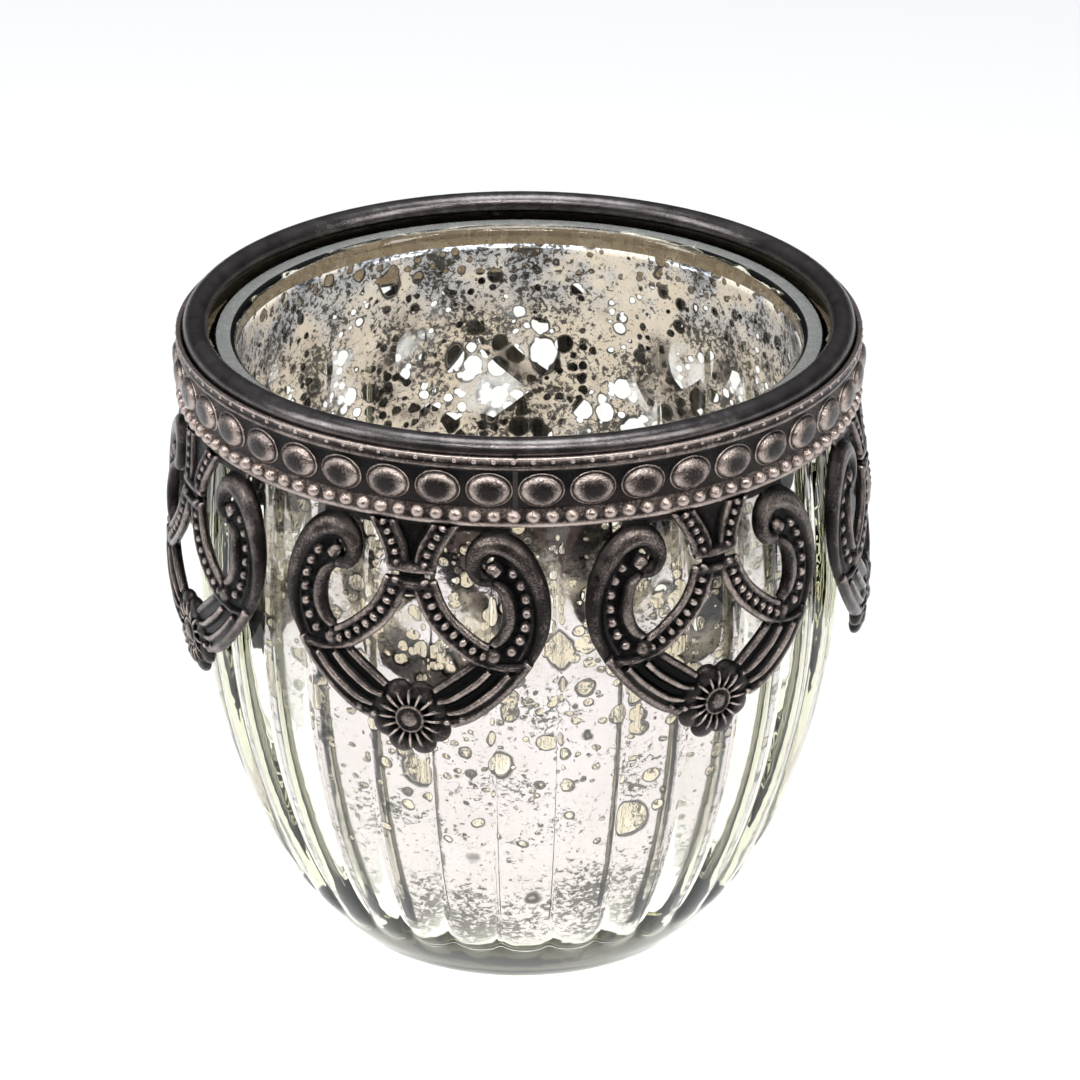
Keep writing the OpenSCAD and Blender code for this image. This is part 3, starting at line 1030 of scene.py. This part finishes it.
def halfPendant():
    roll = smoothPath(rollLine)
    groove = [p * (1, 1, 0) + (0, 0, drop["rollGrooveWidth"]) for p in besidePath(roll, drop["rollGroove"])]
    groove = groove[:drop["rollGrooveSteps"]]
    parts = [
        ribbon(channelSheet),
        ribbon(jointSheet),
        relief(roll, steep=0.85, lift=0.05),
        relief(groove, steep=1.2, lift=0.3),
        relief(smoothPath(innerLine), steep=1.1, lift=0.1),
        stamps(smoothPath(beadLine), 7, 0.56, 0.56, 0.5, 0.35),
        relief(smoothPath([(8.0, -4.6, 0.5), (8.6, -4.3, 0.75), (9.2, -4.8, 0.7)]), steep=1.0, lift=0.2),
        ribbon(barSheet),
        relief(smoothPath(outerRim), steep=1.1, lift=0.2),
        relief(smoothPath(kiteRim), steep=1.1, lift=0.2),
        relief(smoothPath(capLine), steep=1.2, lift=0.3),
        stamps(smoothPath([(8.6, -13.7, 1), (8.7, -13.8, 1)]), 1, 0.95, 0.95, 0.75, 0.2),
        stamps(smoothPath([(5.5, -20.9, 1), (3.9, -21.4, 1)]), 2, 0.5, 0.4, 0.5, 0.4),
    ]
    parts += [relief(smoothPath(reed), steep=1.3, lift=0.35) for reed in reeds]
    parts += beadedCord(armLine, 0.95, 9)
    parts += beadedCord(cordLine, 0.85, 6)
    return parts


def middleOfPendant():
    x, y, _ = drop["rosette"]
    ringLine = [(x + 1.4 * math.cos(t), y + 1.4 * math.sin(t), 0.18) for t in np.arange(12) * math.tau / 12]
    return [
        ribbon([(-10.6, -0.15, 0.35), (-6.0, -0.15, 0.55), (0, -0.2, 0.6),
                (6.0, -0.15, 0.55), (10.6, -0.15, 0.35)]),
        ribbon([(0, 0.2, 2.9), (0, -1.2, 2.2), (0, -2.6, 1.4), (0, -4.0, 1.2)]),
        ribbon([(-1.3, -5.4, 1.7), (1.3, -5.4, 1.7)]),
        ribbon([(-1.6, -6.9, 0.9), (1.6, -6.9, 0.9)]),
        relief(smoothPath([(-2.5, -4.75, 0.5), (0, -4.8, 0.6), (2.5, -4.75, 0.5)]), steep=1.0, lift=0.35),
        relief(smoothPath([(-2.5, -6.55, 0.42), (0, -6.5, 0.5), (2.5, -6.55, 0.42)]), steep=1.0, lift=0.35),
        flower(1, 0, 0, 3.3, 3.3, 0.45, -0.05),
        flower(8, 0.5, 3.15, 1.3, 1.45, 0.76, 0.0),
        flower(16, 0.0, 2.5, 1.0, 0.21, 0.4, 0.58),
        flower(1, 0, 0, 1.2, 1.2, 0.8, 0.3),
        relief(smoothPath(ringLine, closed=True), steep=1.2, lift=0.65, closed=True),
    ]


# Bends the flat drawing round the cup and over the pendant's upright bulge.
def wrapped(mesh, turn):
    places = spotsOf(mesh)
    above = places[:, 1] + drop["top"] - drop["maxHeight"]
    sheetRadius = drop["maxRadius"] - above ** 2 / (2 * drop["bulge"])
    radius = sheetRadius - drop["relief"] + places[:, 2]
    angle = turn + places[:, 0] / (drop["maxRadius"] - drop["relief"])
    bent = mesh.copy()
    level = places[:, 1] + drop["top"]
    moveTo(bent, np.stack([radius * np.sin(angle), -radius * np.cos(angle), level], axis=1))
    return bent


def makePendants():
    half = halfPendant()
    flat = merged(half + [mirrored(part) for part in half] + middleOfPendant())
    flat = grown(flat, modifiers=[
        ("REMESH", {"mode": "VOXEL", "voxel_size": drop["voxel"], "use_smooth_shade": True}),
        ("SMOOTH", {"factor": 0.5, "iterations": 2}),
    ])
    places = spotsOf(flat)
    places[:, 1] = np.minimum(places[:, 1], -0.01)
    places[:, 2] = np.minimum(places[:, 2], drop["relief"])
    moveTo(flat, places)
    lift = np.clip((places[:, 2] - drop["rubbedAbove"]) * 0.9, -0.6, 0.45)
    markWear(flat, 10, 0.09, lift)
    for number in range(drop["count"]):
        mesh = wrapped(flat, number * math.tau / drop["count"])
        finish(f"pendant{number + 1}", mesh, collarMetal, "collar_metal", f"pendant_{number + 1}")


makePendants()


# CAD nodes that stay.

for node, look in (("rim_glue", glueLook), ("rim_joint", solderLook), ("band_joint", solderLook)):
    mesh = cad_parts[node].data
    mesh.materials.clear()
    mesh.materials.append(look)


# Floor and light.

stage = {
    "floorHalf": 3.0,
    "airGap": 0.05,
    "white": (0.93, 0.93, 0.93),
    "whiter": (0.95, 0.95, 0.95),
    "skyLow": (0.06, 0.055, 0.06),
    "skyHigh": (0.30, 0.31, 0.33),
    "backdrop": (0.94, 0.94, 0.94),
    "cardDistance": 0.17,
    "cardHalfWidth": 0.30,
    "cardFoot": 0.001,
    "cardTop": 0.11,
}


def makeFloor():
    half = stage["floorHalf"]
    low = -stage["airGap"] * mm  # so that the glass base and the floor don't share a plane
    mesh = bpy.data.meshes.new("floor")
    corners = [(-half, -half, low), (half, -half, low), (half, half, low), (-half, half, low)]
    mesh.from_pydata(corners, [], [(0, 1, 2, 3)])
    material, tree, shader, place = newMaterial("paleFloor")
    mixed = grain(tree, place, 400.0, 2.0)
    feed(tree, shader.inputs["Base Color"], blend(tree, mixed, rgb(*stage["white"]), rgb(*stage["whiter"])))
    shader.inputs["Roughness"].default_value = 0.9
    mesh.materials.append(material)
    floor = bpy.data.objects.new("floor", mesh)
    bpy.context.scene.collection.objects.link(floor)


def softBox(name, place, aim, width, height, power, colour):
    data = bpy.data.lights.new(name, "AREA")
    data.shape = "RECTANGLE"
    data.size = width
    data.size_y = height
    data.energy = power
    data.color = colour
    light = bpy.data.objects.new(name, data)
    light.location = place
    light.rotation_euler = (Vector(aim) - Vector(place)).to_track_quat("-Z", "Y").to_euler()
    bpy.context.scene.collection.objects.link(light)


# A dark card low in front of the cup. Only reflections and the view through glass show it.
def makeCard():
    azimuth = math.radians(shot["azimuth"])
    outward = Vector((math.sin(azimuth), -math.cos(azimuth), 0))
    side = Vector((math.cos(azimuth), math.sin(azimuth), 0)) * stage["cardHalfWidth"]
    foot = outward * stage["cardDistance"]
    up = Vector((0, 0, 1))
    low, high = stage["cardFoot"], stage["cardTop"]
    corners = [foot + side * s + up * h for s, h in ((-1, low), (1, low), (1, high), (-1, high))]
    mesh = bpy.data.meshes.new("card")
    mesh.from_pydata(corners, [], [(0, 1, 2, 3)])
    material, tree, shader, place = newMaterial("darkCard")
    feed(tree, shader.inputs["Base Color"],
         blend(tree, grain(tree, place, 60.0, 2.0), rgb(0.03, 0.02, 0.018), rgb(0.09, 0.05, 0.04)))
    shader.inputs["Roughness"].default_value = 0.9
    mesh.materials.append(material)
    card = bpy.data.objects.new("card", mesh)
    card.visible_camera = False
    card.visible_diffuse = False
    card.visible_shadow = False
    bpy.context.scene.collection.objects.link(card)


def lightScene():
    world = bpy.data.worlds.new("studio")
    world.use_nodes = True
    tree = world.node_tree
    heading = put(tree, "ShaderNodeSeparateXYZ", Vector=put(tree, "ShaderNodeTexCoord").outputs["Generated"])
    rise = softStep(tree, heading.outputs[2], 0.15, 0.95)
    sky = blend(tree, rise, rgb(*stage["skyLow"]), rgb(*stage["skyHigh"]))
    seen = put(tree, "ShaderNodeLightPath").outputs["Is Camera Ray"]
    feed(tree, tree.nodes["Background"].inputs[0], blend(tree, seen, sky, rgb(*stage["backdrop"])))
    bpy.context.scene.world = world
    aim = (0, 0, 0.03)
    softBox("overhead", (0.0, -0.05, 0.8), aim, 0.5, 0.4, 4.0, (0.95, 0.97, 1.0))
    softBox("leftBox", (-0.6, -0.45, 0.45), aim, 0.2, 0.5, 2.6, (1.0, 1.0, 1.0))
    softBox("rightBox", (0.75, -0.3, 0.4), aim, 0.2, 0.5, 2.4, (1.0, 0.99, 0.98))
    softBox("frontBox", (0.26, -0.8, 0.85), aim, 0.5, 0.12, 5.0, (1.0, 0.985, 0.98))
    softBox("leftSpark", (-0.12, -0.6, 0.6), aim, 0.05, 0.05, 0.5, (1.0, 1.0, 1.0))
    softBox("rightSpark", (0.62, -0.4, 0.62), aim, 0.05, 0.05, 0.5, (1.0, 1.0, 1.0))
    bpy.context.scene.view_settings.view_transform = "Standard"


makeFloor()
makeCard()
lightScene()
print("stage set")
